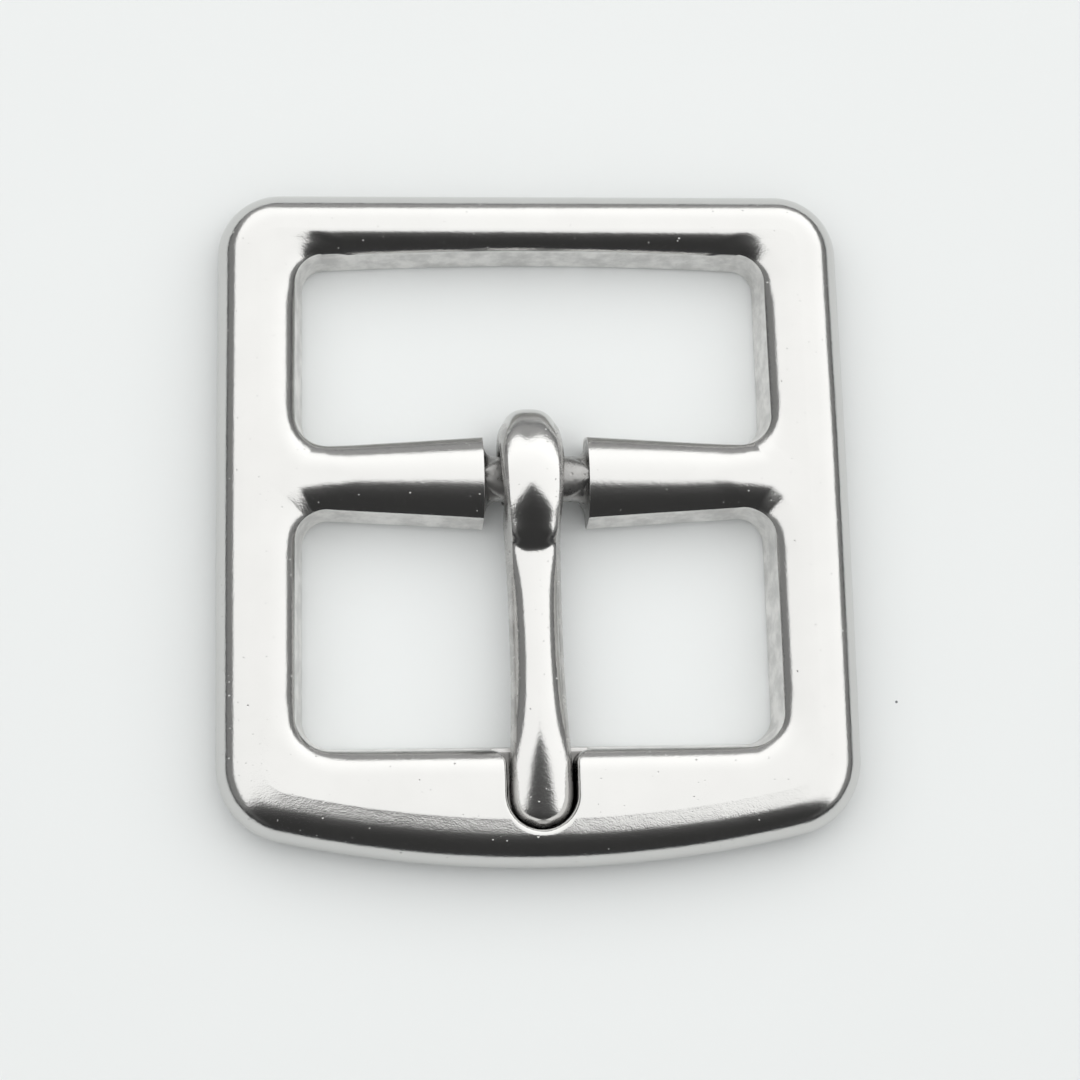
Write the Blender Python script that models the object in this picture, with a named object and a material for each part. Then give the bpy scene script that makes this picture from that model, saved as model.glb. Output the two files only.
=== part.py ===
"""Centre-bar belt buckle for a 38 mm strap: one cast frame with an integral centre bar, and one tongue that swings on it.

Millimetres are used while the shapes are worked out, and turned into metres where the meshes are made. X runs along
the centre bar, +Y points from the bar to the heel rail, -Y to the rail that the tongue rests on, +Z is the front face.
The back of the frame lies on z = 0, and the origin is under the middle of the frame.
"""

import math

import bmesh
import bpy
from mathutils import Vector

MM = 0.001

# ---- frame, seen from the front (mm, y measured from the bar's centre line) ----
TOP_Y = 24.62  # outer edge of the heel rail
BOTTOM_Y = -32.10  # outer edge of the tongue rail at its middle
BOTTOM_BOW = 0.0052  # how fast the tongue rail's edge bows back, per mm
OUTER_X = 26.33  # half width over the side rails, beside the bar
TOP_CORNER_R = 5.2
BOTTOM_CORNER_R = 6.3
INNER_X = 19.25  # half width of the strap opening
HEEL_WINDOW_Y = 19.05
TONGUE_WINDOW_Y = -22.00
WINDOW_CORNER_R = 1.9
JUNCTION_R = 2.1  # window corners beside the bar
BAR_Y = 3.74  # the bar's centre line in the part's own frame

# ---- frame, in section ----
THICK = 5.00
HEEL_THICK = 4.60  # the heel rail is a little thinner
CREST_IN = 3.60  # distance of the crest line from the outer edge
OUTER_ROLL_R = 2.80
BACK_ROLL = 1.50
ROLL_END = 2.70  # where the inner roll starts, from the window's edge
WALL_RUN = 0.60  # how far the drafted wall runs in
WALL_ANGLE = 50.0  # slope of the roll where it meets the drafted wall
BACK_EDGE = 0.55

# ---- bar, neck and tongue seat ----
BAR_CREST_Z = 4.95
SHOULDER_CREST_Z = 5.15
SHOULDER_X = 4.35
NECK_X = 2.00
NECK_HALF_Y = 1.95
NECK_HALF_Z = 1.50
AXIS_Z = 3.10  # height of the hinge axis
SEAT_X = -0.10  # the seat lies a little to one side, as cast
SEAT_HALF_X = 3.16
SEAT_END_Y = -29.42
SEAT_FLOOR_Z = 2.15

# ---- tongue ----
EYE_R = 2.42  # hole round the neck
TONGUE_X = -0.40  # the tongue lies a little to one side at the bar ...
TONGUE_LEAN = -0.0145  # ... and leans about one degree
HEAD_APEX = (-0.42, 7.30)
HEAD_R = 6.70


def lerp(a, b, t):
    return a + (b - a) * t


def smooth(t):
    t = min(max(t, 0.0), 1.0)
    return t * t * (3 - 2 * t)


def spread(a, b, n):
    """n + 1 values from a to b."""
    return [lerp(a, b, i / n) for i in range(n + 1)]


# ------------------------------------------------------------------ frame outline
def outer_x(y):
    return OUTER_X - 0.0084 * y - 0.00013 * y * y


def outer_side_normal(y):
    slope = -0.0084 - 0.00026 * y
    size = math.hypot(1.0, slope)
    return (1.0 / size, -slope / size)


def bottom_y(x):
    return BOTTOM_Y + BOTTOM_BOW * x * x


def bottom_normal(x):
    slope = 2 * BOTTOM_BOW * x
    size = math.hypot(1.0, slope)
    return (slope / size, -1.0 / size)


def inner_x(y):
    return INNER_X - 0.0086 * y


def heel_window_y(x):
    return HEEL_WINDOW_Y - 0.0016 * x * x


def bar_half(x):
    """Half width of the bar: it swells from the side rails to its shoulders."""
    x = max(abs(x), SHOULDER_X)
    return 4.16 - 0.070 * x + 0.00045 * x * x


def crest_inset(ny):
    return CREST_IN - 0.15 * smooth(ny) + 0.10 * smooth(-ny)


def rail_z(y):
    """Height of the crest round the rails."""
    return lerp(THICK, HEEL_THICK, smooth((y - 3.0) / 16.0))


def bottom_corner():
    """Centre of the lower outer corner, and where its arc meets the bowed edge."""
    x = 20.0
    for _ in range(60):
        nx, ny = bottom_normal(x)
        cx, cy = x - BOTTOM_CORNER_R * nx, bottom_y(x) - BOTTOM_CORNER_R * ny
        x += 0.6 * (outer_x(cy) - BOTTOM_CORNER_R - cx)
    return (cx, cy), x


def arc(centre, radius, a0, a1, n):
    """(point, normal) pairs along an arc, angles in degrees."""
    found = []
    for a in spread(a0, a1, n):
        c, s = math.cos(math.radians(a)), math.sin(math.radians(a))
        found.append(((centre[0] + radius * c, centre[1] + radius * s), (c, s)))
    return found


# ------------------------------------------------------------------ frame sections
def outer_profile(crest_d, crest_z, n_flat, n_roll, n_low):
    """(distance from the outer edge, z) from the crest, round the outer edge, to the middle of the back."""
    r = OUTER_ROLL_R
    a0 = math.radians(6.0)
    start = r * (1 - math.sin(a0))
    z_mid = crest_z - (crest_d - start) * math.tan(math.radians(4.5)) - r * math.cos(a0)
    points = []
    for t in spread(0, 1, n_flat)[:-1]:
        d = lerp(crest_d, start, t)
        z = z_mid + r * math.cos(a0) + (d - start) * math.tan(math.radians(lerp(4.5, 4.5 + 1.5 * t, t)))
        points.append((d, z))
    for a in spread(a0, math.pi / 2, n_roll)[:-1]:
        points.append((r * (1 - math.sin(a)), z_mid + r * math.cos(a)))
    for a in spread(0, math.pi / 2, n_low):
        c, s = math.cos(a), math.sin(a)
        points.append((BACK_ROLL * (1 - c ** 0.85), z_mid * (1 - s ** 0.85)))
    points.append((crest_d, 0.0))
    return points


def inner_profile(crest_e, crest_z, barness, corner, n_flat, n_roll, n_wall, n_edge):
    """(distance from the window's edge, z) from the crest, down the roll and the drafted wall, to the back's middle."""
    narrow = smooth((3.2 - crest_e) / 1.0) * (1 - barness)
    wall_e = lerp(lerp(WALL_RUN, 0.40, narrow), 0.42, barness)
    edge = lerp(BACK_EDGE, 1.25, barness)
    roll_e = lerp(min(ROLL_END, crest_e - 0.10), min(crest_e - 0.02, 3.85), barness)
    roll_e = lerp(roll_e, min(roll_e, 1.45), corner)
    a0 = math.radians(lerp(5.0, 0.3, barness))
    a1 = math.radians(lerp(lerp(lerp(WALL_ANGLE, 60.0, narrow), 46.0, barness), 40.0, corner))
    r = (roll_e - wall_e) / (math.sin(a1) - math.sin(a0))
    top_slope = math.tan(math.radians(lerp(0.5, 0.1, barness)))
    roll_z = crest_z - (crest_e - roll_e) * (math.tan(a0) + top_slope) / 2
    points = []
    for t in spread(0, 1, n_flat)[:-1]:
        run = (crest_e - roll_e) * t
        slope = lerp(top_slope, math.tan(a0), t / 2)
        points.append((crest_e - run, crest_z - run * slope))
    for a in spread(a0, a1, n_roll):
        points.append((roll_e - r * (math.sin(a) - math.sin(a0)), roll_z - r * (math.cos(a0) - math.cos(a))))
    wall_z = points[-1][1]
    for t in spread(0, 1, n_wall)[1:]:
        points.append((lerp(wall_e, 0.0, t), lerp(wall_z, edge, t)))
    for a in spread(0, math.pi / 2, n_edge)[1:]:
        points.append((edge * (1 - math.cos(a)), edge * (1 - math.sin(a))))
    points.append((crest_e, 0.0))
    return points


def neck_point(x, k, count, upper):
    """Point k of count round the waisted neck, from its top to its underside, on the heel or the tongue side."""
    s = min(max((SHOULDER_X - abs(x)) / (SHOULDER_X - NECK_X), 0.0), 1.0)
    a = math.pi * k / count
    half_y = NECK_HALF_Y
    return half_y * math.sin(a) * (1 if upper else -1), AXIS_Z + NECK_HALF_Z * math.cos(a), math.sqrt(1 - (1 - s) ** 2)


# ------------------------------------------------------------------ frame mesh
class Counts:
    """How finely each stretch of the frame is divided."""

    top, corner, side_hi, junction, side_lo, low_corner, bottom = 8, 6, 6, 4, 7, 7, 9
    bar = 6
    outer = (1, 6, 4)
    inner = (1, 5, 2, 3)


def frame_half(bm):
    """The +X half of the frame, open at x = 0: three bands that share the crest line and the back's middle line."""
    c = Counts
    (lcx, lcy), lx = bottom_corner()
    cy1 = TOP_Y - TOP_CORNER_R
    cx1 = outer_x(cy1) - TOP_CORNER_R
    jy = 6.4  # where the crest's stations turn from the side rail's into the junction's
    jx = 16.3

    # outer stations: (point, normal), from the heel rail's middle to the tongue rail's middle
    outer = [((x, TOP_Y), (0.0, 1.0)) for x in spread(0, cx1, c.top)[:-1]]
    n = outer_side_normal(cy1)
    outer += arc((cx1, cy1), TOP_CORNER_R, 90, math.degrees(math.atan2(n[1], n[0])), c.corner)[:-1]
    outer += [((outer_x(y), y), outer_side_normal(y)) for y in spread(cy1, jy, c.side_hi)[:-1]]
    outer += [((outer_x(y), y), outer_side_normal(y)) for y in spread(jy, 0, c.junction)[:-1]]
    tee = len(outer)
    outer += [((outer_x(y), y), outer_side_normal(y)) for y in spread(0, -jy, c.junction)[:-1]]
    outer += [((outer_x(y), y), outer_side_normal(y)) for y in spread(-jy, lcy, c.side_lo)[:-1]]
    nb = bottom_normal(lx)
    outer += arc((lcx, lcy), BOTTOM_CORNER_R, 0, math.degrees(math.atan2(nb[1], nb[0])), c.low_corner)[:-1]
    outer += [((x, bottom_y(x)), bottom_normal(x)) for x in spread(lx, 0, c.bottom)]

    crest = []
    for i, (p, nn) in enumerate(outer):
        d = crest_inset(nn[1])
        q = (p[0] - d * nn[0], p[1] - d * nn[1])
        if i == tee:
            q = (q[0], 0.0)
        crest.append(q)
    tx = crest[tee][0]
    xs = spread(tx, jx, c.junction)[:-1] + spread(jx, 5.4, c.bar)[:-1]
    xs += [4.75, 4.45, SHOULDER_X, 4.30, 4.17, 3.95, 3.6, 3.1, 2.5, 1.7, 0.9, 0.0]
    bar = [(x, 0.0) for x in xs]

    # window stations
    wc1 = (inner_x(17.0) - WINDOW_CORNER_R, heel_window_y(17.0) - WINDOW_CORNER_R)
    wj1 = (inner_x(5) - JUNCTION_R, bar_half(17.2) + JUNCTION_R)
    wj2 = (inner_x(-5) - JUNCTION_R, -wj1[1])
    wc2 = (inner_x(-20) - WINDOW_CORNER_R - 0.4, TONGUE_WINDOW_Y + WINDOW_CORNER_R + 0.4)

    # the plateau runs out nearly to the edge in the window's corners
    elbows = [(wc1, WINDOW_CORNER_R, 1), (wj1, JUNCTION_R, -1), (wj2, JUNCTION_R, 1), (wc2, WINDOW_CORNER_R + 0.4, -1)]

    def cornered(w):
        most = 0.0
        for (ex, ey), r, side in elbows:
            mx, my = ex + 0.707 * r, ey + 0.707 * r * side
            most = max(most, 0.38 * smooth(1.0 - math.hypot(w[0] - mx, w[1] - my) / (0.80 * r + 1.8)))
        return most

    def slope_normal(s):
        return (-s / math.hypot(1, s), 1 / math.hypot(1, s))

    def bar_stations(sign, centre):
        found = []
        for x in spread(jx, 5.4, c.bar)[:-1]:
            t = (x - 5.4) / (jx - 5.4)
            wx = lerp(5.4, centre[0], t)
            found.append(((wx, sign * bar_half(wx)), (0.0, -sign)))
        for x in xs[c.junction + c.bar :]:
            found.append(((x, sign * bar_half(x)), (0.0, -sign)))
        return found

    heel = []
    for x in spread(0, wc1[0], c.top)[:-1]:
        heel.append(((x, heel_window_y(x)), slope_normal(-0.0032 * x)))
    heel += arc(wc1, WINDOW_CORNER_R, 87, 0, c.corner)[:-1]
    heel += [((inner_x(y), y), (1.0, 0.0)) for y in spread(wc1[1], wj1[1], c.side_hi)[:-1]]
    heel += arc(wj1, JUNCTION_R, 0, -90, 2 * c.junction)[:-1]
    heel += bar_stations(1, wj1)

    low = list(reversed(bar_stations(-1, wj2)))
    low += arc(wj2, JUNCTION_R, 90, 0, 2 * c.junction)[1:]
    low += [((inner_x(y), y), (1.0, 0.0)) for y in spread(wj2[1], wc2[1], c.side_lo)[1:-1]]
    low += arc(wc2, WINDOW_CORNER_R + 0.4, 0, -90, c.low_corner)[:-1]
    low += [((x, TONGUE_WINDOW_Y), (0.0, -1.0)) for x in spread(wc2[0], 0, c.bottom)]

    def bar_z(p):
        t = smooth((tx - p[0]) / (tx - jx))
        z = lerp(THICK, BAR_CREST_Z, t)
        return lerp(z, SHOULDER_CREST_Z, smooth((jx - p[0]) / (jx - SHOULDER_X)))

    def vert(x, y, z):
        return bm.verts.new((x * MM, (y + BAR_Y) * MM, z * MM))

    # shared lines: crest on the front and middle line on the back
    loop_top = [vert(*p, rail_z(p[1])) for p in crest]
    loop_back = [vert(*p, 0.0) for p in crest]
    bar_top, bar_back = [loop_top[tee]], [loop_back[tee]]
    for x, y in bar[1:]:
        _, top, g = neck_point(x, 0, 1, True)
        _, under, _ = neck_point(x, 1, 1, True)
        z = bar_z((x, y))
        bar_top.append(vert(x, y, lerp(z, top, g)))
        bar_back.append(vert(x, y, lerp(0.0, under, g)))

    def inner_ring(w, n, q, z, barness, upper, top, back):
        ex, ey = q[0] - w[0], q[1] - w[1]
        e_c = ex * n[0] + ey * n[1]
        lateral = (ex - n[0] * e_c, ey - n[1] * e_c)
        points = inner_profile(e_c, z, barness, cornered(w), *c.inner)
        ring = [top]
        for k, (e, pz) in enumerate(points[1:-1], 1):
            s = smooth((e - WALL_RUN) / (e_c - WALL_RUN))
            x = w[0] + n[0] * e + lateral[0] * s
            y = w[1] + n[1] * e + lateral[1] * s
            if barness >= 1 and x < SHOULDER_X:
                ny_, nz_, g = neck_point(x, k, len(points) - 1, upper)
                y, pz = lerp(y, ny_, g), lerp(pz, nz_, g)
            ring.append(vert(x, y, pz))
        ring.append(back)
        return ring

    def outer_ring(p, n, q, top, back):
        d_c = (p[0] - q[0]) * n[0] + (p[1] - q[1]) * n[1]
        ring = [top]
        for d, z in outer_profile(d_c, rail_z(q[1]), *c.outer)[1:-1]:
            ring.append(vert(p[0] - n[0] * d, p[1] - n[1] * d, z))
        ring.append(back)
        return ring

    def skin(rings, flip):
        for a, b in zip(rings, rings[1:]):
            for k in range(len(a) - 1):
                quad = [a[k], b[k], b[k + 1], a[k + 1]]
                quad = [v for i, v in enumerate(quad) if v not in quad[:i]]
                bm.faces.new(quad[::-1] if flip else quad)

    skin([outer_ring(p, n, q, t, b) for (p, n), q, t, b in zip(outer, crest, loop_top, loop_back)], False)

    def barness_of(i, last):
        return smooth(i / last)

    rings = []
    m = c.junction
    for i, (w, n) in enumerate(heel):
        if i <= tee:
            b = barness_of(max(0, i - (tee - m)), 2 * m)
            rings.append(inner_ring(w, n, crest[i], rail_z(crest[i][1]), b, True, loop_top[i], loop_back[i]))
        else:
            j = i - tee
            b = barness_of(min(m + j, 2 * m), 2 * m)
            rings.append(inner_ring(w, n, bar[j], bar_z(bar[j]), b, True, bar_top[j], bar_back[j]))
    skin(rings, True)

    rings = []
    last = len(bar) - 1
    for i, (w, n) in enumerate(low):
        if i < last:
            j = last - i
            b = barness_of(min(m + j, 2 * m), 2 * m)
            rings.append(inner_ring(w, n, bar[j], bar_z(bar[j]), b, False, bar_top[j], bar_back[j]))
        else:
            j = tee + i - last
            b = barness_of(max(0, m - (i - last)), 2 * m)
            rings.append(inner_ring(w, n, crest[j], rail_z(crest[j][1]), b, False, loop_top[j], loop_back[j]))
    skin(rings, True)


def new_object(name, bm, material):
    mesh = bpy.data.meshes.new(name)
    bm.to_mesh(mesh)
    bm.free()
    obj = bpy.data.objects.new(name, mesh)
    bpy.context.scene.collection.objects.link(obj)
    if material:
        mesh.materials.append(material)
    return obj


def seat_cutter():
    """The rounded seat that the tongue's tip drops into: a tapered trough with one closed, round end."""
    bm = bmesh.new()
    end = SEAT_END_Y + SEAT_HALF_X
    rings = []
    for z, grow in ((SEAT_FLOOR_Z, -0.62), (SEAT_FLOOR_Z + 0.15, -0.30), (SEAT_FLOOR_Z + 0.5, -0.12), (THICK - 0.55, -0.04), (THICK - 0.12, 0.0), (THICK + 1.0, 0.35)):
        r = SEAT_HALF_X + grow
        outline = [(r, TONGUE_WINDOW_Y + 2.0), (r, end)]
        outline += [(r * math.cos(a), end - r * math.sin(a)) for a in spread(0, math.pi, 16)[1:-1]]
        outline += [(-r, end), (-r, TONGUE_WINDOW_Y + 2.0)]
        rings.append([bm.verts.new(((x + SEAT_X) * MM, (y + BAR_Y) * MM, z * MM)) for x, y in outline])
    for a, b in zip(rings, rings[1:]):
        for k in range(len(a)):
            j = (k + 1) % len(a)
            bm.faces.new((a[k], a[j], b[j], b[k]))
    bm.faces.new(rings[0][::-1])
    bm.faces.new(rings[-1])
    bmesh.ops.recalc_face_normals(bm, faces=bm.faces)
    cutter = new_object("seat_cutter", bm, None)
    cutter.hide_render = True
    cutter.display_type = "WIRE"
    return cutter


# ------------------------------------------------------------------ tongue
def tongue_stations():
    """Each station: (outer point, inner point, half width, crown half width, crown drop, crown power, crease), points in YZ.

    They run from the hook's end, under the neck, round the heel side of the eye, over the head and down the shank to the
    tip. Outer is the visible side and inner is the side that faces the neck or the strap.
    """

    def eye(a, r=EYE_R):
        return (r * math.cos(math.radians(a)), AXIS_Z + r * math.sin(math.radians(a)))

    def head(y):
        """Height of the head's crown over y."""
        return HEAD_APEX[1] - HEAD_R + math.sqrt(max(HEAD_R**2 - (y - HEAD_APEX[0]) ** 2, 0.0))

    return [
        # hook end, under the bar
        ((-1.95, 0.62), (-1.80, 1.18), 2.05, 1.60, 0.15, 3.0, 0.0),
        ((-1.75, 0.12), eye(-141), 2.32, 1.86, 0.20, 3.0, 0.0),
        ((-1.10, 0.06), eye(-120), 2.46, 1.98, 0.15, 3.5, 0.0),
        ((0.20, 0.05), eye(-86), 2.58, 2.10, 0.15, 3.5, 0.0),
        ((1.80, 0.05), eye(-58), 2.62, 2.14, 0.18, 3.5, 0.0),
        ((3.60, 0.12), eye(-40), 2.66, 2.18, 0.40, 3.2, 0.0),
        ((4.90, 0.55), eye(-26), 2.67, 2.22, 0.90, 3.2, 0.0),
        ((5.72, 1.35), eye(-14), 2.69, 2.28, 1.30, 3.6, 0.0),
        ((6.04, 2.45), eye(-2), 2.70, 2.30, 1.50, 3.7, 0.0),
        ((5.92, 3.45), eye(9), 2.70, 2.26, 1.42, 3.6, 0.0),
        ((5.62, 4.25), eye(20), 2.70, 2.12, 1.08, 3.5, 0.1),
        # over the head
        ((5.02, head(4.75) + 0.02), eye(34), 2.70, 1.84, 0.56, 3.6, 0.45),
        ((3.75, head(3.70)), eye(50), 2.70, 2.08, 0.50, 2.8, 0.6),
        ((2.30, head(2.30)), eye(66), 2.68, 2.10, 0.50, 2.4, 0.7),
        ((0.90, head(0.90)), eye(82), 2.65, 2.08, 0.50, 2.2, 0.7),
        ((-0.60, head(-0.60)), eye(98), 2.60, 2.07, 0.50, 2.2, 0.7),
        ((-1.90, head(-1.90)), eye(114), 2.53, 2.05, 0.52, 2.2, 0.7),
        ((-3.10, head(-3.10)), eye(132), 2.48, 2.01, 0.54, 2.2, 0.7),
        ((-4.20, head(-4.20)), eye(152), 2.46, 1.95, 0.54, 2.2, 0.7),
        ((-5.05, 5.69), eye(174), 2.44, 1.90, 0.50, 3.4, 0.6),
        # the step down and the shank
        ((-5.60, 5.24), (-2.50, 2.46), 2.43, 1.86, 0.46, 3.4, 0.6),
        ((-6.02, 4.88), (-3.25, 2.12), 2.43, 1.84, 0.46, 3.4, 0.6),
        ((-6.45, 4.79), (-3.95, 2.10), 2.41, 1.82, 0.52, 3.2, 0.55),
        ((-6.90, 4.80), (-4.90, 2.10), 2.36, 1.80, 0.62, 2.9, 0.55),
        ((-8.40, 4.84), (-7.40, 2.16), 2.30, 1.80, 0.82, 2.6, 0.55),
        ((-10.6, 4.88), (-10.3, 2.22), 2.25, 1.80, 0.98, 2.3, 0.55),
        ((-14.0, 4.91), (-14.0, 2.25), 2.25, 1.80, 1.02, 2.2, 0.55),
        ((-17.4, 4.94), (-17.4, 2.28), 2.28, 1.84, 1.00, 2.2, 0.55),
        # the flatter, rounded tip in its seat
        ((-20.4, 4.93), (-20.4, 2.42), 2.40, 1.95, 0.88, 2.3, 0.55),
        ((-21.9, 4.85), (-22.1, 2.50), 2.51, 2.03, 0.72, 2.2, 0.6),
        ((-23.3, 4.65), (-23.6, 2.54), 2.58, 2.08, 0.58, 2.3, 0.7),
        ((-24.9, 4.37), (-25.3, 2.58), 2.61, 2.10, 0.52, 2.5, 0.7),
        ((-26.2, 4.13), (-26.7, 2.60), 2.61, 2.10, 0.46, 2.7, 0.7),
        ((-27.1, 3.96), (-27.65, 2.62), 2.42, 1.95, 0.40, 2.8, 0.65),
        ((-27.75, 3.83), (-28.22, 2.68), 2.02, 1.62, 0.32, 3.0, 0.55),
        ((-28.12, 3.73), (-28.58, 2.76), 1.50, 1.18, 0.24, 3.0, 0.35),
        ((-28.32, 3.64), (-28.78, 2.84), 0.88, 0.68, 0.14, 3.0, 0.1),
    ]


def tongue_section(outer, inner, half, crown, drop, power, _):
    """Closed section: a crown over the outer side, a crease, a full flank to the parting line and a flatter inner side."""
    depth = math.hypot(outer[0] - inner[0], outer[1] - inner[1])
    uy, uz = (outer[0] - inner[0]) / depth, (outer[1] - inner[1]) / depth
    drop = min(drop, 0.55 * depth)
    shape = []
    for t in (0.0, 0.30, 0.56, 0.78, 0.92, 1.0):
        shape.append((crown * t, depth - drop * t**power))
    edge = min(0.45, 0.22 * depth)
    low = edge + 0.12 * depth
    wall_top = depth - drop
    shape.append((lerp(crown, half, 0.62), lerp(wall_top, low, 0.34)))
    shape.append((half, low))
    shape.append((half - 0.12, edge * 0.45))
    shape.append((half - 0.50 * min(1.0, half / 1.5), 0.0))
    shape.append((0.45 * half, 0.0))
    shape.append((0.0, 0.0))
    ring = [(x, inner[0] + uy * h, inner[1] + uz * h) for x, h in shape]
    ring += [(-x, y, z) for x, y, z in reversed(ring[1:-1])]
    # the tongue has play on its neck, and lies a little askew
    return [(x + TONGUE_X + TONGUE_LEAN * y, y, z) for x, y, z in ring]


def tongue_mesh(bm):
    rings = []
    for station in tongue_stations():
        ring = tongue_section(*station)
        rings.append([bm.verts.new((x * MM, y * MM, (z - AXIS_Z) * MM)) for x, y, z in ring])
    n = len(rings[0])
    for a, b in zip(rings, rings[1:]):
        for k in range(n):
            j = (k + 1) % n
            bm.faces.new((a[k], a[j], b[j], b[k]))
    # rounded ends: a smaller ring pulled outwards, closed with a grid of quads
    for ring, other in ((rings[0], rings[1]), (rings[-1], rings[-2])):
        mid = sum((v.co for v in ring), Vector()) / n
        before = sum((v.co for v in other), Vector()) / n
        out = (mid - before).normalized()
        inner = []
        for v in ring:
            p = mid + (v.co - mid) * 0.55 + out * (0.25 * MM)
            inner.append(bm.verts.new(p))
        for k in range(n):
            j = (k + 1) % n
            quad = (ring[k], ring[j], inner[j], inner[k])
            bm.faces.new(quad)
        # halves face each other over x = 0: a ladder of quads fills the end
        half = n // 2
        for k in range(half):
            a, b = inner[k], inner[k + 1]
            c, d = inner[(n - k - 1) % n], inner[(n - k) % n]
            face = [a, b, c, d]
            face = [v for i, v in enumerate(face) if v not in face[:i]]
            bm.faces.new(face)
    bmesh.ops.recalc_face_normals(bm, faces=bm.faces)
    # the crease beside the crown stays crisp
    layer = bm.edges.layers.float.new("crease_edge")
    sharp = [station[-1] for station in tongue_stations()]
    for i, (a, b) in enumerate(zip(rings, rings[1:])):
        for k in (5, n - 5):
            edge = bm.edges.get((a[k], b[k]))
            if edge:
                edge[layer] = (sharp[i] + sharp[i + 1]) / 2


def steel(name, colour, roughness):
    material = bpy.data.materials.new(name)
    material.use_nodes = True
    shader = material.node_tree.nodes["Principled BSDF"]
    shader.inputs["Base Color"].default_value = (*colour, 1.0)
    shader.inputs["Metallic"].default_value = 1.0
    shader.inputs["Roughness"].default_value = roughness
    return material


def main():
    for obj in list(bpy.data.objects):
        bpy.data.objects.remove(obj, do_unlink=True)

    # buckle_frame: rails and centre bar, one casting
    bm = bmesh.new()
    frame_half(bm)
    frame = new_object("buckle_frame", bm, steel("polished_cast_steel", (0.66, 0.65, 0.63), 0.10))
    mirror = frame.modifiers.new("both_halves", "MIRROR")
    mirror.use_axis = (True, False, False)
    mirror.merge_threshold = 0.00001
    cut = frame.modifiers.new("tongue_seat", "BOOLEAN")
    cut.operation = "DIFFERENCE"
    cut.solver = "EXACT"
    cut.object = seat_cutter()
    frame.data.shade_smooth()
    frame.data.set_sharp_from_angle(angle=math.radians(35))

    # tongue: its origin is on the bar's axis, so it turns about local X
    hinge = bpy.data.objects.new("tongue_hinge", None)
    hinge.empty_display_size = 0.004
    hinge.location = (0.0, BAR_Y * MM, AXIS_Z * MM)
    bpy.context.scene.collection.objects.link(hinge)
    bm = bmesh.new()
    tongue_mesh(bm)
    tongue = new_object("tongue", bm, steel("polished_tongue_steel", (0.68, 0.67, 0.65), 0.09))
    tongue.parent = hinge
    smoother = tongue.modifiers.new("smooth_form", "SUBSURF")
    smoother.levels = 1
    smoother.render_levels = 1
    tongue.data.shade_smooth()


main()
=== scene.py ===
"""Looks of the cast centre-bar belt buckle: refined frame and tongue, polished and as-cast steel, soft studio light."""
import math

import bmesh
import bpy
import numpy as np
from mathutils import Matrix, Vector


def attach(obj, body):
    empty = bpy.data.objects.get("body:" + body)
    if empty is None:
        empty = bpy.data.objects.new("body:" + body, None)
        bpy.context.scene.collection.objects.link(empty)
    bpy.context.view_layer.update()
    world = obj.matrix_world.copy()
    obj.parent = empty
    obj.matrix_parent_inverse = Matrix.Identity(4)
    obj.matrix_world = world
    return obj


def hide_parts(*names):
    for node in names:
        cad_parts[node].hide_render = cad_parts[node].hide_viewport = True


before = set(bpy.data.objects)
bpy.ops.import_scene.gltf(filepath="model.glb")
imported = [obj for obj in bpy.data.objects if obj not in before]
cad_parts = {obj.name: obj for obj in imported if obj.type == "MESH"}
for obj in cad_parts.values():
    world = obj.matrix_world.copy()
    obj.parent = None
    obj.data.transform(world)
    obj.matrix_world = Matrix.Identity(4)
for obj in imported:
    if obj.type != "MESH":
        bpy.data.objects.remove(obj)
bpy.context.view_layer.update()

MM = 0.001

# ---- the same sizes as the CAD (mm, y measured from the bar's centre line) ----
TOP_Y = 24.62
BOTTOM_Y = -32.10
BOTTOM_BOW = 0.0052
OUTER_X = 26.33
TOP_CORNER_R = 5.2
BOTTOM_CORNER_R = 6.3
INNER_X = 19.25
HEEL_WINDOW_Y = 19.05
TONGUE_WINDOW_Y = -22.00
WINDOW_CORNER_R = 1.9
JUNCTION_R = 2.1
BAR_Y = 3.74
THICK = 5.00
HEEL_THICK = 4.60
CREST_IN = 3.60
OUTER_ROLL_R = 2.80
BACK_ROLL = 1.50
ROLL_END = 2.70
WALL_RUN = 0.60
WALL_ANGLE = 50.0
BACK_EDGE = 0.55
BAR_CREST_Z = 4.95
SHOULDER_CREST_Z = 5.15
SHOULDER_X = 4.35
NECK_X = 2.00
NECK_HALF_Y = 1.95
NECK_HALF_Z = 1.50
AXIS_Z = 3.10
SEAT_X = -0.10  # the seat lies a little to one side, as cast
SEAT_HALF_X = 3.16
SEAT_END_Y = -29.42
SEAT_FLOOR_Z = 2.15
EYE_R = 2.42
TONGUE_X = -0.40  # the tongue lies a little to one side at the bar ...
TONGUE_LEAN = -0.0145  # ... and leans about one degree
HEAD_APEX = (-0.42, 7.30)
HEAD_R = 6.70

POLISHED, CAST, GROUND, NECK = 0, 1, 2, 3


def lerp(a, b, t):
    return a + (b - a) * t


def smooth(t):
    t = min(max(t, 0.0), 1.0)
    return t * t * (3 - 2 * t)


def spread(a, b, n):
    return [lerp(a, b, i / n) for i in range(n + 1)]


# ------------------------------------------------------------------ frame outline and sections
def outer_x(y):
    return OUTER_X - 0.0084 * y - 0.00013 * y * y


def outer_side_normal(y):
    slope = -0.0084 - 0.00026 * y
    size = math.hypot(1.0, slope)
    return (1.0 / size, -slope / size)


def bottom_y(x):
    return BOTTOM_Y + BOTTOM_BOW * x * x


def bottom_normal(x):
    slope = 2 * BOTTOM_BOW * x
    size = math.hypot(1.0, slope)
    return (slope / size, -1.0 / size)


def inner_x(y):
    return INNER_X - 0.0086 * y


def heel_window_y(x):
    return HEEL_WINDOW_Y - 0.0016 * x * x


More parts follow.
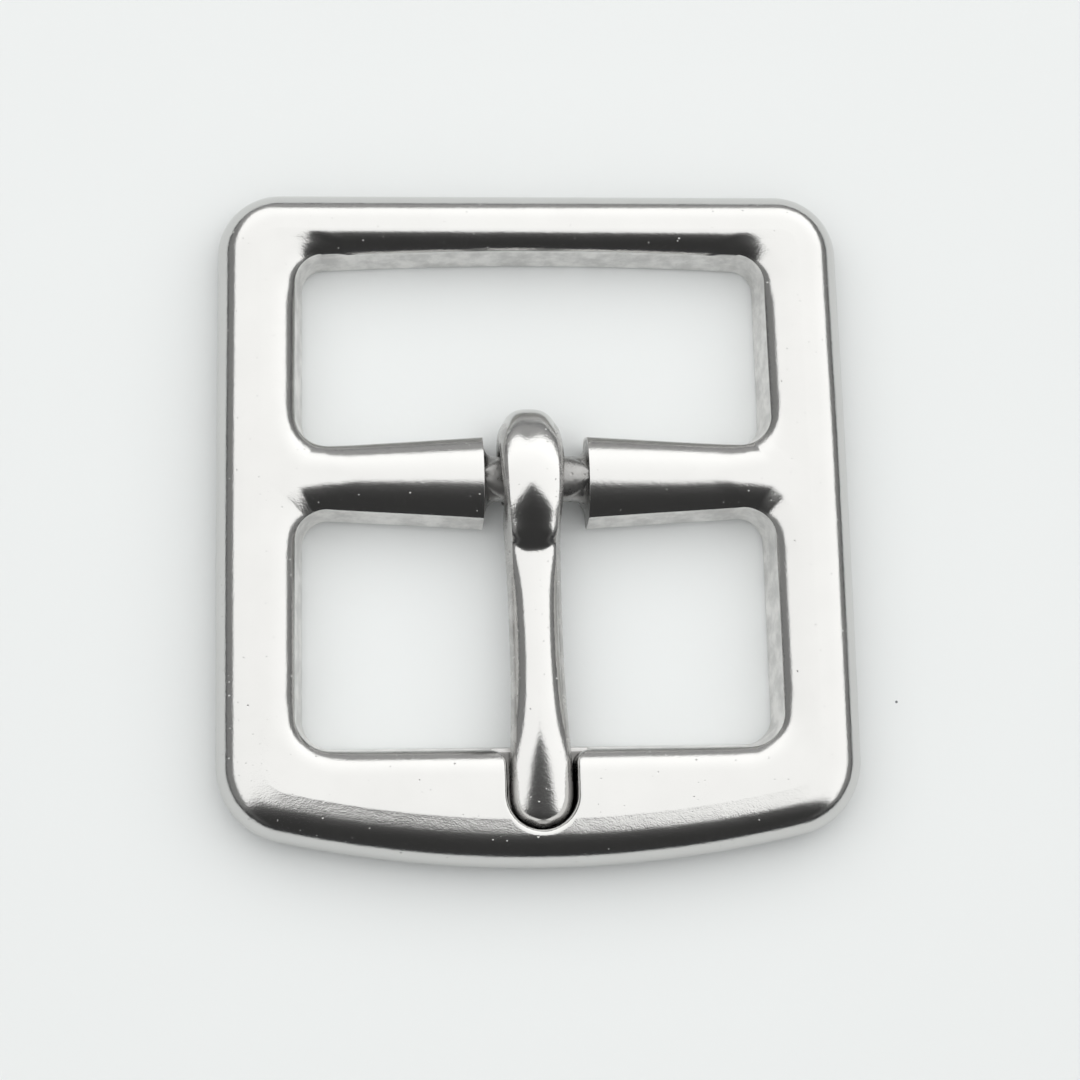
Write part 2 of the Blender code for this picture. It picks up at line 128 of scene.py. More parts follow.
def bar_half(x):
    x = max(abs(x), SHOULDER_X)
    return 4.16 - 0.070 * x + 0.00045 * x * x


def crest_inset(ny):
    return CREST_IN - 0.15 * smooth(ny) + 0.10 * smooth(-ny)


def rail_z(y):
    return lerp(THICK, HEEL_THICK, smooth((y - 3.0) / 16.0))


def bottom_corner():
    x = 20.0
    for _ in range(60):
        nx, ny = bottom_normal(x)
        cx, cy = x - BOTTOM_CORNER_R * nx, bottom_y(x) - BOTTOM_CORNER_R * ny
        x += 0.6 * (outer_x(cy) - BOTTOM_CORNER_R - cx)
    return (cx, cy), x


def arc(centre, radius, a0, a1, n):
    found = []
    for a in spread(a0, a1, n):
        c, s = math.cos(math.radians(a)), math.sin(math.radians(a))
        found.append(((centre[0] + radius * c, centre[1] + radius * s), (c, s)))
    return found


def outer_profile(crest_d, crest_z, n_flat, n_roll, n_low):
    r = OUTER_ROLL_R
    a0 = math.radians(6.0)
    start = r * (1 - math.sin(a0))
    z_mid = crest_z - (crest_d - start) * math.tan(math.radians(4.5)) - r * math.cos(a0)
    points = []
    for t in spread(0, 1, n_flat)[:-1]:
        d = lerp(crest_d, start, t)
        z = z_mid + r * math.cos(a0) + (d - start) * math.tan(math.radians(lerp(4.5, 4.5 + 1.5 * t, t)))
        points.append((d, z))
    for a in spread(a0, math.pi / 2, n_roll)[:-1]:
        points.append((r * (1 - math.sin(a)), z_mid + r * math.cos(a)))
    for a in spread(0, math.pi / 2, n_low):
        c, s = math.cos(a), math.sin(a)
        points.append((BACK_ROLL * (1 - max(c, 0.0) ** 0.85), z_mid * (1 - s ** 0.85)))
    points.append((crest_d, 0.0))
    return points


def inner_profile(crest_e, crest_z, barness, corner, n_flat, n_roll, n_wall, n_edge):
    narrow = smooth((3.2 - crest_e) / 1.0) * (1 - barness)
    wall_e = lerp(lerp(WALL_RUN, 0.40, narrow), 0.42, barness)
    edge = lerp(BACK_EDGE, 1.25, barness)
    roll_e = lerp(min(ROLL_END, crest_e - 0.10), min(crest_e - 0.02, 3.85), barness)
    roll_e = lerp(roll_e, min(roll_e, 1.45), corner)
    a0 = math.radians(lerp(5.0, 0.3, barness))
    a1 = math.radians(lerp(lerp(lerp(WALL_ANGLE, 60.0, narrow), 46.0, barness), 40.0, corner))
    r = (roll_e - wall_e) / (math.sin(a1) - math.sin(a0))
    top_slope = math.tan(math.radians(lerp(0.5, 0.1, barness)))
    roll_z = crest_z - (crest_e - roll_e) * (math.tan(a0) + top_slope) / 2
    points = []
    for t in spread(0, 1, n_flat)[:-1]:
        run = (crest_e - roll_e) * t
        slope = lerp(top_slope, math.tan(a0), t / 2)
        points.append((crest_e - run, crest_z - run * slope))
    for a in spread(a0, a1, n_roll):
        points.append((roll_e - r * (math.sin(a) - math.sin(a0)), roll_z - r * (math.cos(a0) - math.cos(a))))
    wall_z = points[-1][1]
    for t in spread(0, 1, n_wall)[1:]:
        points.append((lerp(wall_e, 0.0, t), lerp(wall_z, edge, t)))
    for a in spread(0, math.pi / 2, n_edge)[1:]:
        points.append((edge * (1 - math.cos(a)), edge * (1 - math.sin(a))))
    points.append((crest_e, 0.0))
    return points


def distance_to(line, points):
    """Distance of each point to the polyline."""
    a, b = line[:-1], line[1:]
    ab = b - a
    size = np.maximum((ab**2).sum(1), 1e-18)
    ap = points[:, None, :] - a[None]
    t = np.clip((ap * ab[None]).sum(2) / size[None], 0, 1)
    gap = ap - t[..., None] * ab[None]
    return np.sqrt((gap**2).sum(2).min(1))


def shifted(points, true, front, last):
    """Heights from the last roll point down: the wall starts where the true roll ends."""
    z_old, z_new = points[front][1], true[front][1]
    heights = []
    for e, pz in points[front - 1 :]:
        if pz >= z_old:
            along = np.array(true)[::-1]
            heights.append(float(np.interp(last if len(heights) == 0 else e, along[:, 0], along[:, 1])))
        else:
            heights.append(pz * z_new / z_old if z_old > 0 else pz)
    return heights


def neck_point(x, k, count, upper):
    s = min(max((SHOULDER_X - abs(x)) / (SHOULDER_X - NECK_X), 0.0), 1.0)
    a = math.pi * k / count
    return NECK_HALF_Y * math.sin(a) * (1 if upper else -1), AXIS_Z + NECK_HALF_Z * math.cos(a), math.sqrt(1 - (1 - s) ** 2)


class Counts:
    top, corner, side_hi, junction, side_lo, low_corner = 44, 34, 40, 22, 40, 40
    bar = 44
    outer = (16, 44, 20)
    inner = (36, 40, 10, 10)


LOW_X = spread(5.0, 3.7, 14) + spread(3.7, 2.3, 34)[1:] + spread(2.3, 0.0, 20)[1:]
BEYOND = 40


def frame_arrays():
    """Vertices (mm), faces and face materials of the +X half of the frame."""
    c = Counts
    verts, faces, slots = [], [], []
    (lcx, lcy), lx = bottom_corner()
    cy1 = TOP_Y - TOP_CORNER_R
    cx1 = outer_x(cy1) - TOP_CORNER_R
    jy, jx = 6.4, 16.3

    outer = [((x, TOP_Y), (0.0, 1.0)) for x in spread(0, cx1, c.top)[:-1]]
    n = outer_side_normal(cy1)
    outer += arc((cx1, cy1), TOP_CORNER_R, 90, math.degrees(math.atan2(n[1], n[0])), c.corner)[:-1]
    outer += [((outer_x(y), y), outer_side_normal(y)) for y in spread(cy1, jy, c.side_hi)[:-1]]
    outer += [((outer_x(y), y), outer_side_normal(y)) for y in spread(jy, 0, c.junction)[:-1]]
    tee = len(outer)
    outer += [((outer_x(y), y), outer_side_normal(y)) for y in spread(0, -jy, c.junction)[:-1]]
    outer += [((outer_x(y), y), outer_side_normal(y)) for y in spread(-jy, lcy, c.side_lo)[:-1]]
    nb = bottom_normal(lx)
    outer += arc((lcx, lcy), BOTTOM_CORNER_R, 0, math.degrees(math.atan2(nb[1], nb[0])), c.low_corner)[:-1]
    low_x = spread(lx, LOW_X[0], BEYOND)[:-1] + LOW_X
    outer += [((x, bottom_y(x)), bottom_normal(x)) for x in low_x]

    crest = []
    for i, (p, nn) in enumerate(outer):
        d = crest_inset(nn[1])
        q = (p[0] - d * nn[0], p[1] - d * nn[1])
        if i == tee:
            q = (q[0], 0.0)
        crest.append(q)
    tx = crest[tee][0]
    xs = spread(tx, jx, c.junction)[:-1] + spread(jx, 5.4, c.bar)[:-1]
    xs += spread(5.4, SHOULDER_X + 0.08, 10)[:-1] + [SHOULDER_X + 0.05, SHOULDER_X + 0.02, SHOULDER_X]
    waist = SHOULDER_X - NECK_X
    xs += [SHOULDER_X - waist * (1 - math.cos(math.radians(a))) for a in (4, 8, 12, 17, 22, 28, 34, 41, 48, 55, 62, 69, 76, 83, 90)]
    xs += spread(NECK_X, 0.0, 10)[1:]
    bar = [(x, 0.0) for x in xs]

    wc1 = (inner_x(17.0) - WINDOW_CORNER_R, heel_window_y(17.0) - WINDOW_CORNER_R)
    wj1 = (inner_x(5) - JUNCTION_R, bar_half(17.2) + JUNCTION_R)
    wj2 = (inner_x(-5) - JUNCTION_R, -wj1[1])
    wc2 = (inner_x(-20) - WINDOW_CORNER_R - 0.4, TONGUE_WINDOW_Y + WINDOW_CORNER_R + 0.4)

    # the plateau runs out nearly to the edge in the window's corners
    elbows = [(wc1, WINDOW_CORNER_R, 1), (wj1, JUNCTION_R, -1), (wj2, JUNCTION_R, 1), (wc2, WINDOW_CORNER_R + 0.4, -1)]

    def cornered(w):
        most = 0.0
        for (ex, ey), r, side in elbows:
            mx, my = ex + 0.707 * r, ey + 0.707 * r * side
            most = max(most, 0.30 * smooth(1.0 - math.hypot(w[0] - mx, w[1] - my) / (0.80 * r + 1.8)))
        return most

    def slope_normal(s):
        return (-s / math.hypot(1, s), 1 / math.hypot(1, s))

    def bar_stations(sign, centre):
        found = []
        for x in spread(jx, 5.4, c.bar)[:-1]:
            t = (x - 5.4) / (jx - 5.4)
            wx = lerp(5.4, centre[0], t)
            found.append(((wx, sign * bar_half(wx)), (0.0, -sign)))
        for x in xs[c.junction + c.bar :]:
            found.append(((x, sign * bar_half(x)), (0.0, -sign)))
        return found

    heel = []
    for x in spread(0, wc1[0], c.top)[:-1]:
        heel.append(((x, heel_window_y(x)), slope_normal(-0.0032 * x)))
    heel += arc(wc1, WINDOW_CORNER_R, 87, 0, c.corner)[:-1]
    heel += [((inner_x(y), y), (1.0, 0.0)) for y in spread(wc1[1], wj1[1], c.side_hi)[:-1]]
    heel += arc(wj1, JUNCTION_R, 0, -90, 2 * c.junction)[:-1]
    heel += bar_stations(1, wj1)

    low = list(reversed(bar_stations(-1, wj2)))
    low += arc(wj2, JUNCTION_R, 90, 0, 2 * c.junction)[1:]
    low += [((inner_x(y), y), (1.0, 0.0)) for y in spread(wj2[1], wc2[1], c.side_lo)[1:-1]]
    low += arc(wc2, WINDOW_CORNER_R + 0.4, 0, -90, c.low_corner)[:-1]
    low += [((x, TONGUE_WINDOW_Y), (0.0, -1.0)) for x in spread(wc2[0], LOW_X[0], BEYOND)[:-1] + LOW_X]

    def bar_z(p):
        t = smooth((tx - p[0]) / (tx - jx))
        z = lerp(THICK, BAR_CREST_Z, t)
        return lerp(z, SHOULDER_CREST_Z, smooth((jx - p[0]) / (jx - SHOULDER_X)))

    def vert(x, y, z):
        verts.append((x, y, z))
        return len(verts) - 1

    loop_top = [vert(*p, rail_z(p[1])) for p in crest]
    loop_back = [vert(*p, 0.0) for p in crest]
    bar_top, bar_back = [loop_top[tee]], [loop_back[tee]]
    for x, y in bar[1:]:
        _, top, g = neck_point(x, 0, 1, True)
        _, under, _ = neck_point(x, 1, 1, True)
        z = bar_z((x, y))
        bar_top.append(vert(x, y, lerp(z, top, g)))
        bar_back.append(vert(x, y, lerp(0.0, under, g)))

    outlines = {}
    for key, stations in ((True, heel), (False, low)):
        line = np.array([w for w, _ in stations])
        line = np.vstack([line, line[::-1] * (-1, 1)]) if key else np.vstack([line[::-1] * (-1, 1), line])
        outlines[key] = line[np.r_[True, np.hypot(*np.diff(line, axis=0).T) > 1e-9]]

    def inner_ring(w, n, q, z, barness, upper, top, back):
        ex, ey = q[0] - w[0], q[1] - w[1]
        e_c = ex * n[0] + ey * n[1]
        lateral = (ex - n[0] * e_c, ey - n[1] * e_c)
        points = inner_profile(e_c, z, barness, cornered(w), *c.inner)
        front = c.inner[0] + c.inner[1]
        place = [q]
        for e, _ in points[1:-1]:
            s = smooth((e - WALL_RUN) / (e_c - WALL_RUN))
            place.append((w[0] + n[0] * e + lateral[0] * s, w[1] + n[1] * e + lateral[1] * s))
        heights = [pz for _, pz in points[:-1]]
        if w[0] > SHOULDER_X + 0.6:
            # the roll follows the distance to the window's real outline, so it runs evenly round the corners
            away = distance_to(outlines[upper], np.array(place[:front]))
            true = inner_profile(away[0], z, barness, cornered(w), *c.inner)[: front + 1]
            along = np.array(true)[::-1]
            heights[:front] = np.interp(away, along[:, 0], along[:, 1]).tolist()
            heights[front - 1 :] = shifted(points, true, front, away[-1])[:-1]
        ring = [top]
        for k in range(1, len(place)):
            (x, y), pz = place[k], heights[k]
            if barness >= 1 and x < SHOULDER_X:
                ny_, nz_, g = neck_point(x, k, len(points) - 1, upper)
                y, pz = lerp(y, ny_, g), lerp(pz, nz_, g)
            ring.append(vert(x, y, pz))
        ring.append(back)
        return ring

    def outer_ring(p, n, q, top, back):
        d_c = (p[0] - q[0]) * n[0] + (p[1] - q[1]) * n[1]
        ring = [top]
        for d, z in outer_profile(d_c, rail_z(q[1]), *c.outer)[1:-1]:
            ring.append(vert(p[0] - n[0] * d, p[1] - n[1] * d, z))
        ring.append(back)
        return ring

    def skin(rings, flip, slot_of):
        for a, b in zip(rings, rings[1:]):
            for k in range(len(a) - 1):
                quad = [a[k], b[k], b[k + 1], a[k + 1]]
                quad = [v for i, v in enumerate(quad) if v not in quad[:i]]
                faces.append(quad[::-1] if flip else quad)
                slots.append(slot_of(k, verts[a[k]]))

    n_outer = sum(c.outer)
    skin(
        [outer_ring(p, n, q, t, b) for (p, n), q, t, b in zip(outer, crest, loop_top, loop_back)],
        False,
        lambda k, v: GROUND if k >= n_outer else POLISHED,
    )
    m = c.junction
    wall_from = c.inner[0] + c.inner[1]
    wall_to = wall_from + c.inner[2] + c.inner[3]

    def inner_slot(k, v):
        if abs(v[0]) < SHOULDER_X and abs(v[1]) < 6:
            return NECK
        return POLISHED if k < wall_from else CAST if k < wall_to else GROUND

    rings = []
    for i, (w, n) in enumerate(heel):
        if i <= tee:
            b = smooth(max(0, i - (tee - m)) / (2 * m))
            rings.append(inner_ring(w, n, crest[i], rail_z(crest[i][1]), b, True, loop_top[i], loop_back[i]))
        else:
            j = i - tee
            b = smooth(min(m + j, 2 * m) / (2 * m))
            rings.append(inner_ring(w, n, bar[j], bar_z(bar[j]), b, True, bar_top[j], bar_back[j]))
    skin(rings, True, inner_slot)

    rings = []
    last = len(bar) - 1
    for i, (w, n) in enumerate(low):
        if i < last:
            j = last - i
            b = smooth(min(m + j, 2 * m) / (2 * m))
            rings.append(inner_ring(w, n, bar[j], bar_z(bar[j]), b, False, bar_top[j], bar_back[j]))
        else:
            j = tee + i - last
            b = smooth(max(0, m - (i - last)) / (2 * m))
            rings.append(inner_ring(w, n, crest[j], rail_z(crest[j][1]), b, False, loop_top[j], loop_back[j]))
    skin(rings, True, inner_slot)
    return np.array(verts), faces, np.array(slots)


def both_halves(verts, faces, slots):
    """The +X half and its mirror image, sharing the vertices on x = 0."""
    other = np.arange(len(verts)) + len(verts)
    middle = np.abs(verts[:, 0]) < 1e-9
    keep = ~middle
    other[keep] = len(verts) + np.arange(keep.sum())
    other[middle] = np.nonzero(middle)[0]
    mirrored = verts[keep] * (-1, 1, 1)
    all_faces = faces + [[int(other[v]) for v in reversed(f)] for f in faces]
    return np.vstack([verts, mirrored]), all_faces, np.concatenate([slots, slots])


def sink_seat(v):
    """Lowers the tongue rail's front to a seat with a rolled rim, a round end and flared corners at the window."""
    x, y, z = v[:, 0] - SEAT_X, v[:, 1], v[:, 2]
    end = SEAT_END_Y + SEAT_HALF_X
    flare_r = 1.1
    t = np.clip((y - (TONGUE_WINDOW_Y - WALL_RUN - flare_r)) / flare_r, 0, 1)
    flare = flare_r * (1 - np.sqrt(np.maximum(1 - t * t, 0)))
    dist = np.where(y < end, np.hypot(x, y - end), np.abs(x) - flare)
    round_end = np.clip((end - y) / SEAT_HALF_X, 0, 1)
    r = 0.32 + 0.22 * round_end
    reach = SEAT_HALF_X + 0.07 + 0.24 * round_end
    u = np.maximum(reach - dist, 0)
    knee = 0.965 * r
    drop = np.where(
        u < knee,
        r - np.sqrt(np.maximum(r * r - np.minimum(u, knee) ** 2, 0)),
        r - math.sqrt(1 - 0.965**2) * r + 13.0 * (u - knee),
    )
    low = z - drop
    k = 0.45
    h = np.maximum(k - np.abs(low - SEAT_FLOOR_Z), 0) / k
    blended = np.maximum(low, SEAT_FLOOR_Z) + h * h * k / 4
    inside = (y < TONGUE_WINDOW_Y + 0.8) & (u > 0)
    out = v.copy()
    out[:, 2] = np.where(inside, np.minimum(z, blended), z)
    depth = np.where(inside, z - out[:, 2], 0)
    return out, depth


def mesh_object(name, verts_mm, faces, slots, materials, floats=()):
    mesh = bpy.data.meshes.new(name)
    mesh.from_pydata((verts_mm * MM).tolist(), [], faces)
    mesh.polygons.foreach_set("material_index", np.asarray(slots, np.int32))
    for m in materials:
        mesh.materials.append(m)
    for key, values in floats:
        layer = mesh.attributes.new(key, "FLOAT", "POINT")
        layer.data.foreach_set("value", np.asarray(values, np.float32))
    mesh.shade_smooth()
    mesh.update()
    obj = bpy.data.objects.new(name, mesh)
    bpy.context.scene.collection.objects.link(obj)
    return obj


# ------------------------------------------------------------------ tongue
def tongue_stations():
    def eye(a, r=EYE_R):
        return (r * math.cos(math.radians(a)), AXIS_Z + r * math.sin(math.radians(a)))

    def head(y):
        """Height of the head's crown over y."""
        return HEAD_APEX[1] - HEAD_R + math.sqrt(max(HEAD_R**2 - (y - HEAD_APEX[0]) ** 2, 0.0))

    return [
        # hook end, under the bar
        ((-1.95, 0.62), (-1.80, 1.18), 2.05, 1.60, 0.15, 3.0, 0.0),
        ((-1.75, 0.12), eye(-141), 2.32, 1.86, 0.20, 3.0, 0.0),
        ((-1.10, 0.06), eye(-120), 2.46, 1.98, 0.15, 3.5, 0.0),
        ((0.20, 0.05), eye(-86), 2.58, 2.10, 0.15, 3.5, 0.0),
        ((1.80, 0.05), eye(-58), 2.62, 2.14, 0.18, 3.5, 0.0),
        ((3.60, 0.12), eye(-40), 2.66, 2.18, 0.40, 3.2, 0.0),
        ((4.90, 0.55), eye(-26), 2.67, 2.22, 0.90, 3.2, 0.0),
        ((5.72, 1.35), eye(-14), 2.69, 2.28, 1.30, 3.6, 0.0),
        ((6.04, 2.45), eye(-2), 2.70, 2.30, 1.50, 3.7, 0.0),
        ((5.92, 3.45), eye(9), 2.70, 2.26, 1.42, 3.6, 0.0),
        ((5.62, 4.25), eye(20), 2.70, 2.12, 1.08, 3.5, 0.1),
        # over the head
        ((5.02, head(4.75) + 0.02), eye(34), 2.70, 1.84, 0.56, 3.6, 0.45),
        ((3.75, head(3.70)), eye(50), 2.70, 2.08, 0.50, 2.8, 0.6),
        ((2.30, head(2.30)), eye(66), 2.68, 2.10, 0.50, 2.4, 0.7),
        ((0.90, head(0.90)), eye(82), 2.65, 2.08, 0.50, 2.2, 0.7),
        ((-0.60, head(-0.60)), eye(98), 2.60, 2.07, 0.50, 2.2, 0.7),
        ((-1.90, head(-1.90)), eye(114), 2.53, 2.05, 0.52, 2.2, 0.7),
        ((-3.10, head(-3.10)), eye(132), 2.48, 2.01, 0.54, 2.2, 0.7),
        ((-4.20, head(-4.20)), eye(152), 2.46, 1.95, 0.54, 2.2, 0.7),
        ((-5.05, 5.69), eye(174), 2.44, 1.90, 0.50, 3.4, 0.6),
        # the step down and the shank
        ((-5.60, 5.24), (-2.50, 2.46), 2.43, 1.86, 0.46, 3.4, 0.6),
        ((-6.02, 4.88), (-3.25, 2.12), 2.43, 1.84, 0.46, 3.4, 0.6),
        ((-6.45, 4.79), (-3.95, 2.10), 2.41, 1.82, 0.52, 3.2, 0.55),
        ((-6.90, 4.80), (-4.90, 2.10), 2.36, 1.80, 0.62, 2.9, 0.55),
        ((-8.40, 4.84), (-7.40, 2.16), 2.30, 1.80, 0.82, 2.6, 0.55),
        ((-10.6, 4.88), (-10.3, 2.22), 2.25, 1.80, 0.98, 2.3, 0.55),
        ((-14.0, 4.91), (-14.0, 2.25), 2.25, 1.80, 1.02, 2.2, 0.55),
        ((-17.4, 4.94), (-17.4, 2.28), 2.28, 1.84, 1.00, 2.2, 0.55),
        # the flatter, rounded tip in its seat
        ((-20.4, 4.93), (-20.4, 2.42), 2.40, 1.95, 0.88, 2.3, 0.55),
        ((-21.9, 4.85), (-22.1, 2.50), 2.51, 2.03, 0.72, 2.2, 0.6),
        ((-23.3, 4.65), (-23.6, 2.54), 2.58, 2.08, 0.58, 2.3, 0.7),
        ((-24.9, 4.37), (-25.3, 2.58), 2.61, 2.10, 0.52, 2.5, 0.7),
        ((-26.2, 4.13), (-26.7, 2.60), 2.61, 2.10, 0.46, 2.7, 0.7),
        ((-27.1, 3.96), (-27.65, 2.62), 2.42, 1.95, 0.40, 2.8, 0.65),
        ((-27.75, 3.83), (-28.22, 2.68), 2.02, 1.62, 0.32, 3.0, 0.55),
        ((-28.12, 3.73), (-28.58, 2.76), 1.50, 1.18, 0.24, 3.0, 0.35),
        ((-28.32, 3.64), (-28.78, 2.84), 0.88, 0.68, 0.14, 3.0, 0.1),
    ]


def tongue_section(outer, inner, half, crown, drop, power, _):
    """Closed section: a crown over the outer side, a crease, a full flank to the parting line and a flatter inner side."""
    depth = math.hypot(outer[0] - inner[0], outer[1] - inner[1])
    uy, uz = (outer[0] - inner[0]) / depth, (outer[1] - inner[1]) / depth
    drop = min(drop, 0.55 * depth)
    shape = []
    for t in (0.0, 0.30, 0.56, 0.78, 0.92, 1.0):
        shape.append((crown * t, depth - drop * t**power))
    edge = min(0.45, 0.22 * depth)
    low = edge + 0.12 * depth
    wall_top = depth - drop
    shape.append((lerp(crown, half, 0.62), lerp(wall_top, low, 0.34)))
    shape.append((half, low))
    shape.append((half - 0.12, edge * 0.45))
    shape.append((half - 0.50 * min(1.0, half / 1.5), 0.0))
    shape.append((0.45 * half, 0.0))
    shape.append((0.0, 0.0))
    ring = [(x, inner[0] + uy * h, inner[1] + uz * h) for x, h in shape]
    ring += [(-x, y, z) for x, y, z in reversed(ring[1:-1])]
    # the tongue has play on its neck, and lies a little askew
    return [(x + TONGUE_X + TONGUE_LEAN * y, y, z) for x, y, z in ring]


def tongue_object(name, materials):
    bm = bmesh.new()
    rings = []
    for station in tongue_stations():
        ring = tongue_section(*station)
        rings.append([bm.verts.new((x * MM, (y + BAR_Y) * MM, z * MM)) for x, y, z in ring])
    n = len(rings[0])
    half = n // 2
    for a, b in zip(rings, rings[1:]):
        for k in range(n):
            j = (k + 1) % n
            face = bm.faces.new((a[k], a[j], b[j], b[k]))
            m = min(k, n - 1 - k)
            face.material_index = POLISHED if m < 5 else CAST
    for ring, other in ((rings[0], rings[1]), (rings[-1], rings[-2])):
        mid = sum((v.co for v in ring), Vector()) / n
        before = sum((v.co for v in other), Vector()) / n
        out = (mid - before).normalized()
        inner = []
        for v in ring:
            p = mid + (v.co - mid) * 0.55 + out * (0.25 * MM)
            inner.append(bm.verts.new(p))
        for k in range(n):
            j = (k + 1) % n
            bm.faces.new((ring[k], ring[j], inner[j], inner[k])).material_index = CAST
        for k in range(half):
            face = [inner[k], inner[k + 1], inner[(n - k - 1) % n], inner[(n - k) % n]]
            face = [v for i, v in enumerate(face) if v not in face[:i]]
            bm.faces.new(face).material_index = CAST
    bmesh.ops.recalc_face_normals(bm, faces=bm.faces)
    layer = bm.edges.layers.float.new("crease_edge")
    sharp = [station[-1] for station in tongue_stations()]
    for i, (a, b) in enumerate(zip(rings, rings[1:])):
        for k in (5, n - 5):
            edge = bm.edges.get((a[k], b[k]))
            if edge:
                edge[layer] = (sharp[i] + sharp[i + 1]) / 2
    mesh = bpy.data.meshes.new(name)
    bm.to_mesh(mesh)
    bm.free()
    for m in materials:
        mesh.materials.append(m)
    mesh.shade_smooth()
    obj = bpy.data.objects.new(name, mesh)
    bpy.context.scene.collection.objects.link(obj)
    finer = obj.modifiers.new("smooth_form", "SUBSURF")
    finer.levels = 3
    finer.render_levels = 3
    # the smoothed surface becomes the piece's own mesh, so that its size is its real size
    bpy.context.view_layer.update()
    fine = bpy.data.meshes.new_from_object(obj.evaluated_get(bpy.context.evaluated_depsgraph_get()))
    obj.modifiers.clear()
    obj.data = fine
    return obj


# ------------------------------------------------------------------ materials
class Nodes:
    def __init__(self, name):
        self.material = bpy.data.materials.new(name)
        self.material.use_nodes = True
        self.tree = self.material.node_tree
        self.shader = self.tree.nodes["Principled BSDF"]
        self.coords = self.tree.nodes.new("ShaderNodeTexCoord").outputs["Object"]

    def link(self, a, b):
        self.tree.links.new(a, b)

    def mapped(self, scale, rotation=(0, 0, 0)):
        node = self.tree.nodes.new("ShaderNodeMapping")
        node.inputs["Scale"].default_value = scale
        node.inputs["Rotation"].default_value = rotation
        self.link(self.coords, node.inputs["Vector"])
        return node.outputs["Vector"]

    def noise(self, wave_mm, detail=2.0, rough=0.5, stretch=(1, 1, 1), rotation=(0, 0, 0), distortion=0.0):
        node = self.tree.nodes.new("ShaderNodeTexNoise")
        node.inputs["Scale"].default_value = 1.0
        node.inputs["Detail"].default_value = detail
        node.inputs["Roughness"].default_value = rough
        node.inputs["Distortion"].default_value = distortion
        f = 1000.0 / wave_mm
        self.link(self.mapped((f * stretch[0], f * stretch[1], f * stretch[2]), rotation), node.inputs["Vector"])
        return node.outputs["Fac"]

    def cells(self, wave_mm, randomness=1.0):
        node = self.tree.nodes.new("ShaderNodeTexVoronoi")
        node.inputs["Scale"].default_value = 1.0
        node.inputs["Randomness"].default_value = randomness
        f = 1000.0 / wave_mm
        self.link(self.mapped((f, f, f)), node.inputs["Vector"])
        return node.outputs["Distance"], node.outputs["Color"]

    def math(self, op, a, b=None, c=None, clamp=False):
        node = self.tree.nodes.new("ShaderNodeMath")
        node.operation = op
        node.use_clamp = clamp
        for i, v in enumerate((a, b, c)):
            if v is None:
                continue
            if isinstance(v, (int, float)):
                node.inputs[i].default_value = v
            else:
                self.link(v, node.inputs[i])
        return node.outputs[0]

    def ramp(self, value, lo, hi, out_lo=0.0, out_hi=1.0, kind="SMOOTHSTEP"):
        node = self.tree.nodes.new("ShaderNodeMapRange")
        node.interpolation_type = kind
        node.inputs["From Min"].default_value = lo
        node.inputs["From Max"].default_value = hi
        node.inputs["To Min"].default_value = out_lo
        node.inputs["To Max"].default_value = out_hi
        self.link(value, node.inputs["Value"])
        return node.outputs["Result"]

    def colour(self, factor, a, b):
        node = self.tree.nodes.new("ShaderNodeMix")
        node.data_type = "RGBA"
        node.inputs[6].default_value = (*a, 1)
        node.inputs[7].default_value = (*b, 1)
        self.link(factor, node.inputs[0])
        return node.outputs[2]

    def attribute(self, key):
        node = self.tree.nodes.new("ShaderNodeAttribute")
        node.attribute_name = key
        return node.outputs["Fac"]

    def bump(self, height_mm):
        node = self.tree.nodes.new("ShaderNodeBump")
        node.inputs["Strength"].default_value = 1.0
        node.inputs["Distance"].default_value = 0.001
        self.link(height_mm, node.inputs["Height"])
        self.link(node.outputs["Normal"], self.shader.inputs["Normal"])


def pits(n, wave_mm, share, radius, seed_shift=0.0):
    """1 inside small round pits: a share of the cells has one, of about the given radius in cell units."""
    distance, colour = n.cells(wave_mm)
    separate = n.tree.nodes.new("ShaderNodeSeparateColor")
    n.link(colour, separate.inputs[0])
    chosen = n.ramp(separate.outputs[0], share, share * 0.999 - 0.001, 0.0, 1.0, "LINEAR")
    size = n.ramp(separate.outputs[1], 0, 1, 0.35 * radius, radius, "LINEAR")
    inside = n.math("SUBTRACT", 1.0, n.math("DIVIDE", distance, size), clamp=True)
    return n.math("MULTIPLY", inside, chosen)


